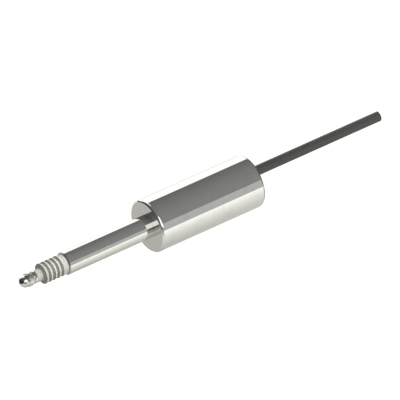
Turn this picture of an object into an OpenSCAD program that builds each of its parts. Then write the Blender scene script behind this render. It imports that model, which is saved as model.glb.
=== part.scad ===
// Spring-loaded displacement probe with a differential transformer inside.
// The probe lies along X, with the contact tip at -X and the cable at +X.
// The origin is on the axis, halfway along the clamping stem.

/* [Body] */
// Outside diameter of the body
body_d = 18.6; // [17:0.1:24]
// Length of the body along the axis
body_len = 42; // [39:0.1:60]
// Rounding of the body's two outer edges
body_edge_r = 0.85; // [0.3:0.05:0.9]
// Thickness of the body's tube wall
body_wall = 1.5; // [1.3:0.05:1.9]
// Thickness of the body's front wall, which holds the stem
front_wall = 5; // [3:0.1:6.5]

/* [Stem] */
// Outside diameter of the clamping stem
stem_d = 8; // [7.4:0.1:9.5]
// Length of the stem ahead of the body
stem_len = 34; // [30:0.1:50]
// Chamfer on the stem's front edge
stem_chamfer = 0.3; // [0.1:0.05:0.4]
// Step from the stem down to its tail in the body's front wall
stem_tail_step = 0.3; // [0.2:0.05:0.35]

/* [Ball bearing] */
// Diameter of the spindle's ground shaft
spindle_d = 3.5; // [3.2:0.05:3.9]
// Diameter of the bearing balls
ball_d = 0.92; // [0.8:0.02:1.02]
// Free play of a ball at each of its contacts
ball_play = 0.04; // [0.02:0.01:0.06]
// Wall of the hardened sleeve that the balls run in
sleeve_wall = 0.55; // [0.4:0.05:0.7]
// Length of the sleeve
sleeve_len = 21.5; // [20:0.1:24]
// Length of the ball cage
cage_len = 15; // [13:0.1:17]
// Wall of the ball cage
cage_wall = 0.5; // [0.4:0.05:0.6]
// Rings of balls along the cage
ball_rings = 5; // [3:1:6]
// Balls in each ring
balls_per_ring = 6; // [4:1:7]

/* [Nose bush] */
// Length of the bush inside the stem
bush_len = 2.2; // [1.8:0.1:3]
// Radial clearance between the bush and the spindle
bush_clearance = 0.2; // [0.1:0.05:0.3]
// Diameter of the pin that keeps the spindle from turning
key_pin_d = 0.9; // [0.7:0.05:1.1]
// Depth of the spindle's groove for that pin
key_groove_depth = 0.4; // [0.3:0.05:0.5]

/* [Bellows] */
// Diameter over the bellows' crests
bellows_d = 7.2; // [6.6:0.1:7.6]
// Diameter at the bellows' roots
bellows_root_d = 5; // [4.6:0.1:5.4]
// Convolutions of the bellows
bellows_count = 5; // [3:1:7]
// Distance from one crest to the next
bellows_pitch = 1.7; // [1.6:0.025:2.2]
// Width of a crest's flat top
crest_flat = 0.58; // [0.38:0.01:0.6]
// Width of a root's flat bottom
root_flat = 0.4; // [0.3:0.01:0.5]
// Wall of the bellows
bellows_wall = 0.25; // [0.2:0.01:0.28]
// Distance from the stem's end to the first crest
first_crest = 1.86; // [1.5:0.02:2]
// Wall of the cuff on the stem's end
rear_cuff_wall = 0.45; // [0.35:0.05:0.6]
// How far the cuff on the stem's end lies below the crests
rear_cuff_drop = 0.15; // [0.05:0.05:0.3]
// Wall of the cuff on the spindle
front_cuff_wall = 0.33; // [0.25:0.01:0.45]
// Length of the cuff on the spindle
front_cuff_len = 2.13; // [1.6:0.01:3]
// Height of the bead that locks the cuff on the spindle
bead_h = 0.15; // [0.1:0.01:0.2]

/* [Contact tip] */
// Diameter of the ball
tip_ball_d = 4.3; // [3.8:0.05:4.5]
// How far the ball's centre stands ahead of its holder
tip_ball_stand = 0.65; // [0.4:0.05:1]
// Diameter of the holder
tip_d = 4.8; // [4.6:0.1:6]
// Length of the holder's round part
tip_len = 1.7; // [1.6:0.1:3]
// Chamfer on the holder's rear edge
tip_chamfer = 0.35; // [0.1:0.05:0.35]
// Diameter of the neck behind the tip
neck_d = 3.5; // [3:0.1:4]
// Length of the neck
neck_len = 0.7; // [0.2:0.05:1]
// Diameter of the spindle's front collar
ring_d = 4.4; // [4.1:0.1:5]
// Length of the spindle's front collar
ring_len = 0.9; // [0.6:0.05:1.5]
// Diameter of the tip's screwed shank
shank_d = 2.5; // [2:0.1:2.8]
// Length of the tip's screwed shank
shank_len = 4.5; // [3:0.1:6]

/* [Stroke and spring] */
// Travel of the spindle from full extension
travel = 4; // [2:0.1:5]
// Wire of the return spring
spring_wire = 0.4; // [0.3:0.02:0.5]
// Working turns of the return spring
spring_turns = 7; // [5:1:10]
// Length of the stop collar
collar_len = 1.4; // [1:0.1:2]
// Step from the spindle's shaft down to its tail
tail_step = 0.45; // [0.35:0.05:0.5]
// Length of the spindle's tail
tail_len = 5.5; // [5:0.1:7]
// Thickness of the retaining ring behind the collar
clip_t = 0.4; // [0.3:0.05:0.5]

/* [Transformer] */
// Diameter of the core
core_d = 3.2; // [2.8:0.1:3.6]
// Length of the core
core_len = 9; // [7:0.1:10]
// Radial gap between the core and the former
core_gap = 0.7; // [0.4:0.05:1]
// Diameter of the core's rod
rod_d = 2.2; // [1.9:0.05:2.5]
// Diameter of the rod's screwed ends
rod_thread_d = 1.6; // [1.4:0.05:1.7]
// Wall of the former's tube
former_wall = 0.7; // [0.5:0.05:1]
// Thickness of the former's two end flanges
end_flange_t = 1.2; // [1.1:0.1:1.6]
// Thickness of the former's two inner flanges
mid_flange_t = 0.8; // [0.5:0.1:1.2]
// Length of the primary winding
primary_len = 6; // [4:0.1:7]
// Gap between the windings and the shield
winding_gap = 0.6; // [0.3:0.05:1]
// Wall of the shield tube
shield_wall = 0.5; // [0.3:0.05:0.8]
// Thickness of the pole washers
pole_washer_t = 1; // [0.6:0.1:1.5]
// Length of the ring between the coil and the rear cap
spacer_len = 4.8; // [4.6:0.1:7]
// Wall of that ring
spacer_wall = 1.2; // [0.8:0.1:1.6]
// Thickness of the terminal board
board_t = 1; // [0.6:0.1:1.2]
// Diameter of the terminal pins
terminal_pin_d = 0.6; // [0.4:0.05:0.8]
// Terminal pins
terminal_pins_count = 6; // [4:1:6]

/* [Rear end] */
// Thickness of the rear cap's rim
cap_rim_t = 4.2; // [3:0.1:5]
// How deep the cap lies below the body's rear edge
cap_recess = 0.3; // [0.1:0.05:0.5]
// Step between the body's bore and the cap's seat
cap_step = 0.4; // [0.2:0.05:0.5]
// Length of the cap's spigot
cap_spigot_len = 3; // [2.6:0.1:4]
// Cord of the O-ring on the spigot
seal_d = 1.3; // [1:0.05:1.5]
// Diameter of the cable
cable_d = 3.5; // [3:0.1:4]
// Height of the cable above the axis
cable_offset = 2.8; // [2.4:0.1:3]
// Wall of the rubber grommet round the cable
grommet_wall = 0.85; // [0.6:0.05:1]
// Length of the grommet
grommet_len = 5; // [3:0.1:5.5]

/* [Hidden] */
$fn = 96;

// Clearance of pieces that are pressed, screwed or bonded together
fit = 0.02;
// Overshoot of a cutting tool past the face it cuts
over = 1;

// Stations of the stem and the body along X
stem_front_x = -stem_len / 2;
shoulder_x = stem_len / 2;
inner_wall_x = shoulder_x + front_wall;
body_rear_x = shoulder_x + body_len;

// Radii from the spindle outwards
spindle_r = spindle_d / 2;
ball_track_r = spindle_r + ball_play + ball_d / 2;
sleeve_bore_r = spindle_r + ball_d + 2 * ball_play;
stem_bore_r = sleeve_bore_r + sleeve_wall;
stem_r = stem_d / 2;
stem_tail_r = stem_r - stem_tail_step;
body_r = body_d / 2;
body_bore_r = body_r - body_wall;
cap_seat_r = body_bore_r + cap_step;

// Nose bush and the pin in it
bush_rear_x = stem_front_x + bush_len;
bush_bore_r = spindle_r + bush_clearance;
key_pin_x = stem_front_x + bush_len / 2;
key_groove_r = spindle_r - key_groove_depth;
key_play = 0.08;

// Bellows: a crest's station is counted from the stem's end
crest_r = bellows_d / 2;
root_r = bellows_root_d / 2;
crest_half = crest_flat / 2;
root_half = root_flat / 2;
flank_run = bellows_pitch / 2 - crest_half - root_half;
flank_slope = (crest_r - root_r) / flank_run;
wall_shift = bellows_wall * tan(atan(flank_slope) / 2);
rear_cuff_r = crest_r - rear_cuff_drop;
spigot_r = rear_cuff_r - rear_cuff_wall - fit;
spigot_len = first_crest - crest_half - 2 * rear_cuff_drop;
front_cuff_bore_r = spindle_r + fit;
front_cuff_r = front_cuff_bore_r + front_cuff_wall;
last_crest_x = crest_x(bellows_count - 1);
front_cuff_rear_x = last_crest_x - crest_half - (crest_r - front_cuff_r) / flank_slope;
front_cuff_x = front_cuff_rear_x - front_cuff_len;
bead_x = front_cuff_x + front_cuff_len / 2;
bead_half = 2 * bead_h;

// Spindle and tip, from the bellows forwards
ring_rear_x = front_cuff_x - fit;
ring_front_x = ring_rear_x - ring_len;
tip_rear_x = ring_front_x - neck_len;
tip_front_x = tip_rear_x - tip_len;
tip_ball_x = tip_front_x - tip_ball_stand;
shank_rear_x = ring_front_x + shank_len;
edge_break = 0.1;

// Bearing: the cage is centred in the sleeve at half travel, and rolls at half the spindle's speed
sleeve_front_x = bush_rear_x + fit;
sleeve_rear_x = sleeve_front_x + sleeve_len;
cage_mid_x = sleeve_front_x + sleeve_len / 2 - travel / 4;
cage_front_x = cage_mid_x - cage_len / 2;
ring_pitch = cage_len / ball_rings;
pocket_r = ball_d / 2 + ball_play;

// Stop collar, its ring and the spindle's tail
stop_gap = 0.05;
collar_front_x = sleeve_rear_x + stop_gap;
collar_rear_x = collar_front_x + collar_len;
collar_r = stem_bore_r - 0.2;
tail_r = spindle_r - tail_step;
tail_rear_x = collar_front_x + tail_len;
clip_depth = 0.2;
clip_r = tail_r + 0.7;

// Spring seat and spring
spring_r = stem_bore_r - 0.4;
spring_bore_r = spring_r - spring_wire;
seat_flange_t = 1;
seat_flange_r = stem_r + 1.2;
seat_plug_len = 1.5;
seat_pilot_len = 1;
seat_pilot_r = spring_bore_r - 0.15;
seat_front_x = inner_wall_x + fit - seat_plug_len;
seat_rear_x = inner_wall_x + fit + seat_flange_t;
spring_front_x = collar_rear_x + fit;
spring_rear_x = seat_front_x - fit;

// Rear cap, from the body's rear edge forwards
cap_rear_x = body_rear_x - cap_recess;
cap_seat_x = cap_rear_x - cap_rim_t;
cap_front_x = cap_seat_x - cap_spigot_len;
seal_x = cap_seat_x - cap_spigot_len / 2;
seal_track_r = body_bore_r - fit - seal_d / 2;

// Coil stack, between the spring seat and the spacer
spacer_front_x = cap_front_x - fit - spacer_len;
front_washer_x = seat_rear_x + fit;
rear_washer_x = spacer_front_x - fit - pole_washer_t;
former_front_x = front_washer_x + pole_washer_t + fit;
former_rear_x = rear_washer_x - fit;
former_mid_x = (former_front_x + former_rear_x) / 2;
former_bore_r = core_d / 2 + core_gap;
former_tube_r = former_bore_r + former_wall;
shield_bore_r = body_bore_r - fit - shield_wall;
flange_r = shield_bore_r - fit;
winding_r = shield_bore_r - winding_gap;
primary_front_x = former_mid_x - primary_len / 2;
primary_rear_x = former_mid_x + primary_len / 2;
front_bay_x = former_front_x + end_flange_t;
rear_bay_x = former_rear_x - end_flange_t;

// Core and its rod: the core is centred in the former at half travel
rod_r = rod_d / 2;
rod_thread_r = rod_thread_d / 2;
rod_grip = 3.2;
core_front_x = former_mid_x - travel / 2 - core_len / 2;
core_rear_x = core_front_x + core_len;
nut_t = 1.2;
nut_across_corners = 3;
rod_tail = 1;

// Terminal board, pins, conductors and cable
spacer_bore_r = body_bore_r - fit - spacer_wall;
board_r = spacer_bore_r - 0.2;
board_front_x = spacer_front_x + 1.2;
board_rear_x = board_front_x + board_t;
terminal_r = board_r - 1.2;
terminal_pin_r = terminal_pin_d / 2;
terminal_grip = 0.9;
terminal_tail = 0.4;
cable_r = cable_d / 2;
conductor_r = 0.4;
conductor_spread = 0.6;
grommet_r = cable_r + grommet_wall;
grommet_rear_x = cap_front_x + grommet_len;
ferrule_r = grommet_r + 0.4;
ferrule_len = 1.1;
ferrule_rear_x = cap_front_x - fit;
ferrule_front_x = ferrule_rear_x - ferrule_len;
cable_hole_r = cable_r + 0.15;
cable_sides = 8;

// Stations of the cable, from its inner end to its cut end
cable_route = [for (x = [50.4, 54, 58, 62, 68, 74, 80, 86, 92, 98, 104, 108, 112.4]) [x, 0, cable_offset]];

function crest_x(k) = stem_front_x - first_crest - k * bellows_pitch;
function unit(v) = v / norm(v);

// Piece turned about the X axis, from an outline of [radius, x] points
module turned(outline) {
  rotate([0, 90, 0]) rotate_extrude() polygon(outline);
}

// Plain ring about the X axis
module ring(bore_r, outer_r, front_x, rear_x) {
  turned([[bore_r, front_x], [outer_r, front_x], [outer_r, rear_x], [bore_r, rear_x]]);
}

// Round rod along X, at y and z from the axis
module rod(r, front_x, rear_x, y = 0, z = 0) {
  translate([front_x, y, z]) rotate([0, 90, 0]) cylinder(r = r, h = rear_x - front_x);
}

// Cutter that rounds an outline's outer corner, where the metal lies towards +x or -x of it
module corner_round(corner_r, corner_x, r, side) {
  translate([corner_r - r, corner_x + side * r])
    difference() {
      translate([0, side > 0 ? -r - over : 0]) square([r + over, r + over]);
      circle(r = r);
    }
}

// Tube of a few flat sides that follows a path, turned about the given upright direction
module swept_tube(path, r, sides, upright) {
  last = len(path) - 1;
  rings = [
    for (i = [0 : last])
      let (along = unit(path[min(i + 1, last)] - path[max(i - 1, 0)]))
      let (across = unit(cross(along, upright)), up = cross(across, along))
      for (k = [0 : sides - 1])
        path[i] + r * (cos(360 * k / sides) * across + sin(360 * k / sides) * up)
  ];
  walls = [
    for (i = [0 : last - 1], k = [0 : sides - 1])
      let (a = i * sides + k, b = i * sides + (k + 1) % sides)
      [a, b, b + sides, a + sides]
  ];
  front_end = [for (k = [sides - 1 : -1 : 0]) k];
  rear_end = [for (k = [0 : sides - 1]) last * sides + k];
  polyhedron(points = rings, faces = concat(walls, [front_end, rear_end]));
}

// Body: cup turned from bar, with the stem's bore in its front wall and a seat for the rear cap
module body_shell() {
  color([0.82, 0.82, 0.79])
    rotate([0, 90, 0])
      rotate_extrude()
        difference() {
          polygon([
            [stem_tail_r + fit, shoulder_x], [body_r, shoulder_x], [body_r, body_rear_x],
            [cap_seat_r, body_rear_x], [cap_seat_r, cap_seat_x], [body_bore_r, cap_seat_x],
            [body_bore_r, inner_wall_x], [stem_tail_r + fit, inner_wall_x]
          ]);
          corner_round(body_r, shoulder_x, body_edge_r, 1);
          corner_round(body_r, body_rear_x, body_edge_r, -1);
        }
}

// Stem: tube whose tail is bonded into the front wall, up to the stem's shoulder
module stem() {
  color([0.82, 0.82, 0.79])
    turned([
      [stem_bore_r, stem_front_x], [stem_r - stem_chamfer, stem_front_x],
      [stem_r, stem_front_x + stem_chamfer], [stem_r, shoulder_x - fit],
      [stem_tail_r, shoulder_x - fit], [stem_tail_r, inner_wall_x], [stem_bore_r, inner_wall_x]
    ]);
}

// Nose bush: screwed into the stem's end, with the spigot for the bellows and a hole for the pin
module nose_bush() {
  color([0.7, 0.68, 0.62])
    difference() {
      turned([
        [bush_bore_r, stem_front_x - spigot_len], [spigot_r, stem_front_x - spigot_len],
        [spigot_r, stem_front_x], [stem_bore_r - fit, stem_front_x],
        [stem_bore_r - fit, bush_rear_x], [bush_bore_r, bush_rear_x]
      ]);
      translate([key_pin_x, 0, 0]) cylinder(d = key_pin_d + 2 * fit, h = stem_bore_r + over);
    }
}

// Pin across the nose bush, whose end runs in the spindle's groove
module anti_rotation_pin() {
  pin_foot = key_groove_r + key_play;
  color([0.6, 0.6, 0.62])
    translate([key_pin_x, 0, pin_foot])
      cylinder(d = key_pin_d, h = stem_bore_r - fit - pin_foot);
}

// Bellows: one moulding of even wall, from the cuff on the stem's spigot to the cuff on the spindle
module bellows() {
  cuff_front_x = stem_front_x - spigot_len;
  outside = [
    for (k = [0 : bellows_count - 1])
      for (p = [
        [crest_r, crest_x(k) + crest_half], [crest_r, crest_x(k) - crest_half],
        [root_r, crest_x(k) - bellows_pitch / 2 + root_half],
        [root_r, crest_x(k) - bellows_pitch / 2 - root_half]
      ])
        if (k < bellows_count - 1 || p[0] > root_r) p
  ];
  inside = [
    for (k = [bellows_count - 1 : -1 : 0])
      for (p = [
        [root_r - bellows_wall, crest_x(k) - bellows_pitch / 2 - root_half - wall_shift],
        [root_r - bellows_wall, crest_x(k) - bellows_pitch / 2 + root_half + wall_shift],
        [crest_r - bellows_wall, crest_x(k) - crest_half + wall_shift],
        [crest_r - bellows_wall, crest_x(k) + crest_half - wall_shift]
      ])
        if (k < bellows_count - 1 || p[0] > root_r) p
  ];
  front_flank_run = (crest_r - bellows_wall - front_cuff_bore_r) / flank_slope;
  color([0.74, 0.74, 0.7])
    turned(concat(
      [[rear_cuff_r, stem_front_x - fit], [rear_cuff_r, cuff_front_x]],
      outside,
      [[front_cuff_r, front_cuff_rear_x], [front_cuff_r, front_cuff_x],
       [front_cuff_bore_r, front_cuff_x], [front_cuff_bore_r, bead_x - bead_half],
       [front_cuff_bore_r - bead_h, bead_x - bead_half / 2],
       [front_cuff_bore_r - bead_h, bead_x + bead_half / 2],
       [front_cuff_bore_r, bead_x + bead_half],
       [front_cuff_bore_r, last_crest_x - crest_half + wall_shift - front_flank_run]],
      inside,
      [[spigot_r + fit, cuff_front_x], [spigot_r + fit, stem_front_x - fit]]
    ));
}

// Spindle: ground shaft with a front collar, a groove for the bead, a groove for the pin and a tail
module spindle() {
  groove_r = spindle_r - bead_h;
  clip_groove_r = tail_r - clip_depth;
  clip_x = collar_rear_x + fit;
  color([0.8, 0.79, 0.77])
    difference() {
      turned([
        [shank_d / 2 + fit, ring_front_x], [ring_d / 2 - edge_break, ring_front_x],
        [ring_d / 2, ring_front_x + edge_break], [ring_d / 2, ring_rear_x - edge_break],
        [ring_d / 2 - edge_break, ring_rear_x], [spindle_r, ring_rear_x],
        [spindle_r, bead_x - bead_half - fit], [groove_r, bead_x - bead_half / 2 - fit],
        [groove_r, bead_x + bead_half / 2 + fit], [spindle_r, bead_x + bead_half + fit],
        [spindle_r, collar_front_x], [tail_r, collar_front_x], [tail_r, clip_x],
        [clip_groove_r, clip_x], [clip_groove_r, clip_x + clip_t + 2 * fit],
        [tail_r, clip_x + clip_t + 2 * fit], [tail_r, tail_rear_x],
        [rod_thread_r + fit, tail_rear_x], [rod_thread_r + fit, tail_rear_x - rod_grip - fit],
        [0, tail_rear_x - rod_grip - fit], [0, shank_rear_x + fit],
        [shank_d / 2 + fit, shank_rear_x + fit]
      ]);
      translate([key_pin_x - travel - key_pin_d, -key_pin_d / 2 - key_play, key_groove_r])
        cube([travel + 2 * key_pin_d, key_pin_d + 2 * key_play, key_groove_depth + over]);
    }
}

// Contact tip: turned holder with a seat for the ball, a neck and a screwed shank
module contact_tip() {
  tip_r = tip_d / 2;
  color([0.78, 0.76, 0.74])
    rotate([0, 90, 0])
      rotate_extrude()
        difference() {
          polygon([
            [0, tip_front_x], [tip_r - edge_break, tip_front_x], [tip_r, tip_front_x + edge_break],
            [tip_r, tip_rear_x - tip_chamfer], [tip_r - tip_chamfer, tip_rear_x],
            [neck_d / 2, tip_rear_x], [neck_d / 2, ring_front_x - fit],
            [shank_d / 2, ring_front_x - fit], [shank_d / 2, shank_rear_x], [0, shank_rear_x]
          ]);
          translate([0, tip_ball_x]) circle(d = tip_ball_d + 2 * fit);
        }
}

// Ball: polished carbide, bonded into the holder's seat
module tip_ball() {
  color([0.7, 0.7, 0.7]) translate([tip_ball_x, 0, 0]) sphere(d = tip_ball_d);
}

// Sleeve of the ball bearing, bonded into the stem
module ball_sleeve() {
  color([0.66, 0.67, 0.69]) ring(sleeve_bore_r, stem_bore_r - fit, sleeve_front_x, sleeve_rear_x);
}

// Places a child at every ball: the rings are set half a ball apart, turn about
module at_balls() {
  for (i = [0 : ball_rings - 1], k = [0 : balls_per_ring - 1])
    translate([cage_front_x + (i + 0.5) * ring_pitch, 0, 0])
      rotate([360 * (k + i % 2 / 2) / balls_per_ring, 0, 0])
        children();
}

// Cage of the ball bearing: thin tube with a drilled pocket for each ball
module ball_cage() {
  color([0.78, 0.62, 0.28])
    difference() {
      ring(ball_track_r - cage_wall / 2, ball_track_r + cage_wall / 2, cage_front_x,
           cage_front_x + cage_len);
      at_balls() cylinder(r = pocket_r, h = sleeve_bore_r);
    }
}

// Balls of the bearing
module bearing_balls() {
  color([0.7, 0.71, 0.73]) at_balls() translate([0, 0, ball_track_r]) sphere(d = ball_d);
}

// Stop collar: sits against the spindle's step, and meets the sleeve at full extension
module stop_collar() {
  color([0.78, 0.62, 0.28]) ring(tail_r + fit, collar_r, collar_front_x + fit, collar_rear_x);
}

// Retaining ring: open ring in the tail's groove, behind the stop collar
module collar_clip() {
  gap_angle = 60;
  color([0.45, 0.46, 0.48])
    rotate([0, 90, 0])
      rotate_extrude(angle = 360 - gap_angle)
        polygon([
          [tail_r - clip_depth + fit, collar_rear_x + 2 * fit], [clip_r, collar_rear_x + 2 * fit],
          [clip_r, collar_rear_x + clip_t + 2 * fit],
          [tail_r - clip_depth + fit, collar_rear_x + clip_t + 2 * fit]
        ]);
}

// Return spring: round wire, with one closed turn at each end
module return_spring() {
  steps_per_turn = 16;
  wire_sides = 6;
  wire_r = spring_wire / 2;
  closed_pitch = 1.15 * spring_wire;
  coil_r = spring_r - wire_r;
  first_x = spring_front_x + wire_r;
  open_pitch = (spring_rear_x - wire_r - first_x - 2 * closed_pitch) / spring_turns;
  total_turns = spring_turns + 2;
  path = [
    for (i = [0 : total_turns * steps_per_turn])
      let (turn = i / steps_per_turn)
      let (open_turns = min(max(turn - 1, 0), spring_turns))
      let (x = first_x + (turn - open_turns) * closed_pitch + open_turns * open_pitch)
      [x, coil_r * cos(360 * turn), coil_r * sin(360 * turn)]
  ];
  color([0.6, 0.61, 0.63]) swept_tube(path, wire_r, wire_sides, [1, 0, 0]);
}

// Spring seat: flanged bush in the stem's rear end, with a pilot inside the spring
module spring_seat() {
  bore_r = rod_r + 0.3;
  plug_r = stem_bore_r - fit;
  color([0.78, 0.62, 0.28])
    turned([
      [bore_r, seat_front_x - seat_pilot_len], [seat_pilot_r, seat_front_x - seat_pilot_len],
      [seat_pilot_r, seat_front_x], [plug_r, seat_front_x], [plug_r, inner_wall_x + fit],
      [seat_flange_r, inner_wall_x + fit], [seat_flange_r, seat_rear_x], [bore_r, seat_rear_x]
    ]);
}

// Core rod: screwed into the spindle's tail, and stepped down for the core
module core_rod() {
  rod_end_x = core_rear_x + 2 * fit + nut_t + rod_tail;
  color([0.68, 0.66, 0.64])
    turned([
      [0, tail_rear_x - rod_grip], [rod_thread_r, tail_rear_x - rod_grip],
      [rod_thread_r, tail_rear_x + fit], [rod_r, tail_rear_x + fit], [rod_r, core_front_x - fit],
      [rod_thread_r, core_front_x - fit], [rod_thread_r, rod_end_x], [0, rod_end_x]
    ]);
}

// Core: drilled nickel-iron rod
module core() {
  color([0.55, 0.55, 0.54]) ring(rod_thread_r + fit, core_d / 2, core_front_x, core_rear_x);
}

// Nut behind the core
module core_nut() {
  color([0.78, 0.62, 0.28])
    difference() {
      translate([core_rear_x + fit, 0, 0])
        rotate([0, 90, 0]) cylinder(d = nut_across_corners, h = nut_t, $fn = 6);
      rod(rod_thread_r + fit, core_rear_x - over, core_rear_x + nut_t + over);
    }
}

// Places a child at every terminal pin, on a line along X
module at_terminals() {
  for (k = [0 : terminal_pins_count - 1])
    rotate([360 * k / terminal_pins_count, 0, 0]) translate([0, terminal_r, 0]) children();
}

// Coil former: tube with four flanges, and holes for the terminal pins in the rear one
module coil_former() {
  color([0.85, 0.83, 0.74])
    difference() {
      turned([
        [former_bore_r, former_front_x], [flange_r, former_front_x], [flange_r, front_bay_x],
        [former_tube_r, front_bay_x], [former_tube_r, primary_front_x - mid_flange_t],
        [flange_r, primary_front_x - mid_flange_t], [flange_r, primary_front_x],
        [former_tube_r, primary_front_x], [former_tube_r, primary_rear_x],
        [flange_r, primary_rear_x], [flange_r, primary_rear_x + mid_flange_t],
        [former_tube_r, primary_rear_x + mid_flange_t], [former_tube_r, rear_bay_x],
        [flange_r, rear_bay_x], [flange_r, former_rear_x], [former_bore_r, former_rear_x]
      ]);
      at_terminals() rod(terminal_pin_r + fit, former_rear_x - terminal_grip - fit, former_rear_x + over);
    }
}

// Winding: copper ring that fills one bay of the former
module winding(front_x, rear_x) {
  color([0.72, 0.4, 0.2]) ring(former_tube_r + fit, winding_r, front_x + fit, rear_x - fit);
}

module front_secondary() {
  winding(front_bay_x, primary_front_x - mid_flange_t);
}

module primary_winding() {
  winding(primary_front_x, primary_rear_x);
}

module rear_secondary() {
  winding(primary_rear_x + mid_flange_t, rear_bay_x);
}

// Pole washers: close the shield's ends, the rear one with holes that clear the terminal pins
module front_pole_washer() {
  color([0.55, 0.55, 0.54])
    ring(former_bore_r, flange_r, front_washer_x, front_washer_x + pole_washer_t);
}

module rear_pole_washer() {
  pin_clearance = 0.3;
  color([0.55, 0.55, 0.54])
    difference() {
      ring(former_bore_r, flange_r, rear_washer_x, rear_washer_x + pole_washer_t);
      at_terminals()
        rod(terminal_pin_r + pin_clearance, rear_washer_x - over, rear_washer_x + pole_washer_t + over);
    }
}

// Shield: nickel-iron tube round the coil, from the front wall to the spacer
module shield_tube() {
  color([0.58, 0.58, 0.56])
    ring(shield_bore_r, body_bore_r - fit, inner_wall_x + fit, rear_washer_x + pole_washer_t);
}

// Spacer: the rear cap pushes the coil forwards through it
module coil_spacer() {
  color([0.88, 0.87, 0.84])
    ring(spacer_bore_r, body_bore_r - fit, spacer_front_x, spacer_front_x + spacer_len);
}

// Terminal pins: pressed into the former's rear flange
module terminal_pins() {
  color([0.8, 0.66, 0.3])
    at_terminals() rod(terminal_pin_r, former_rear_x - terminal_grip, board_rear_x + terminal_tail);
}

// Places a child on the line of each of the cable's conductors
module at_conductors() {
  for (y = [-1, 1], z = [-1, 1])
    translate([0, y * conductor_spread, cable_offset + z * conductor_spread]) children();
}

// Terminal board: round board on the pins, drilled for the cable's conductors
module terminal_board() {
  color([0.2, 0.42, 0.26])
    difference() {
      rod(board_r, board_front_x, board_rear_x);
      at_terminals() rod(terminal_pin_r + fit, board_front_x - over, board_rear_x + over);
      at_conductors() rod(conductor_r + fit, board_front_x - over, board_rear_x + over);
    }
}

// Conductors: the cable's four cores, from its inner end, flush with the ferrule, into the board
module conductors() {
  color([0.75, 0.3, 0.22]) at_conductors() rod(conductor_r, board_front_x, ferrule_front_x);
}

// Ferrule: crimped on the cable inside the cap, so that it can't be pulled out
module cable_ferrule() {
  color([0.78, 0.62, 0.28])
    difference() {
      rod(ferrule_r, ferrule_front_x, ferrule_rear_x, 0, cable_offset);
      rod(cable_r + fit, ferrule_front_x - over, ferrule_rear_x + over, 0, cable_offset);
    }
}

// Grommet: rubber bush round the cable, in the cap's pocket
module cable_grommet() {
  color([0.14, 0.14, 0.14])
    difference() {
      rod(grommet_r - fit, cap_front_x + fit, grommet_rear_x - fit, 0, cable_offset);
      rod(cable_r + fit, cap_front_x - over, grommet_rear_x + over, 0, cable_offset);
    }
}

// Rear cap: plug with a grooved spigot, a pocket for the grommet and the cable's hole
module rear_cap() {
  groove_half = seal_d / 2 + 0.15;
  groove_r = seal_track_r - seal_d / 2 - fit;
  rim_r = cap_seat_r - fit;
  spigot_wall_r = body_bore_r - fit;
  rim_chamfer = 0.3;
  color([0.8, 0.8, 0.77])
    difference() {
      turned([
        [0, cap_front_x], [spigot_wall_r, cap_front_x], [spigot_wall_r, seal_x - groove_half],
        [groove_r, seal_x - groove_half], [groove_r, seal_x + groove_half],
        [spigot_wall_r, seal_x + groove_half], [spigot_wall_r, cap_seat_x + fit],
        [rim_r, cap_seat_x + fit], [rim_r, cap_rear_x - rim_chamfer],
        [rim_r - rim_chamfer, cap_rear_x], [0, cap_rear_x]
      ]);
      rod(grommet_r, cap_front_x - over, grommet_rear_x, 0, cable_offset);
      rod(cable_hole_r, cap_front_x - over, cap_rear_x + over, 0, cable_offset);
    }
}

// O-ring in the cap's groove
module cap_seal() {
  color([0.1, 0.1, 0.1])
    rotate([0, 90, 0]) rotate_extrude() translate([seal_track_r, seal_x]) circle(d = seal_d);
}

// Cable: round jacket from its inner end, through the cap, to its cut end
module cable() {
  color([0.26, 0.26, 0.25]) swept_tube(cable_route, cable_r, cable_sides, [0, 0, 1]);
}

body_shell();
stem();
nose_bush();
anti_rotation_pin();
bellows();
spindle();
contact_tip();
tip_ball();
ball_sleeve();
ball_cage();
bearing_balls();
stop_collar();
collar_clip();
return_spring();
spring_seat();
core_rod();
core();
core_nut();
coil_former();
front_secondary();
primary_winding();
rear_secondary();
front_pole_washer();
rear_pole_washer();
shield_tube();
coil_spacer();
terminal_pins();
terminal_board();
conductors();
cable_ferrule();
cable_grommet();
rear_cap();
cap_seal();
cable();
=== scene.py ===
"""Looks of a spring-loaded displacement probe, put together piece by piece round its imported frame."""

import math

import bmesh
import bpy
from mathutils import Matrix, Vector


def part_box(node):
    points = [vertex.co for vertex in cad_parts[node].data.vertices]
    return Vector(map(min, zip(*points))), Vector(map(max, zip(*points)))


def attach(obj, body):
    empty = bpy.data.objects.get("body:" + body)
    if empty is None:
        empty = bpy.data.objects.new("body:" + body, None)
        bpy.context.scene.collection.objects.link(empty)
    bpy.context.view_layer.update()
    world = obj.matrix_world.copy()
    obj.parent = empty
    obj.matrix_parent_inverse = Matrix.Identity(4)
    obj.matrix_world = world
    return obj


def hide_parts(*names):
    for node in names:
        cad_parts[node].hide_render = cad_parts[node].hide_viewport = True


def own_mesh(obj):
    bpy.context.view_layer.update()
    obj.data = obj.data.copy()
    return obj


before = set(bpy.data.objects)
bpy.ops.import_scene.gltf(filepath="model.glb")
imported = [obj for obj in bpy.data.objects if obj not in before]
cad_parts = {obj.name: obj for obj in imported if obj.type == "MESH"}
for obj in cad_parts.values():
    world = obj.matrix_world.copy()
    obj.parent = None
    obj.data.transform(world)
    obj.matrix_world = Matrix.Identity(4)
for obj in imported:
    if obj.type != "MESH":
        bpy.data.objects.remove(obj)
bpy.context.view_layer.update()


# Camera: a very long lens far away, because the probe is shown with no perspective to speak of.
# It looks down from the tip's side, and the frame is as wide as the probe needs.
view_azimuth = math.radians(-36.5)
view_elevation = math.radians(37.2)
frame_width = 0.1316
look_at = Vector((0.03431, -0.00603, 0.00686))
lens_mm = 1500
sensor_mm = 36
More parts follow.
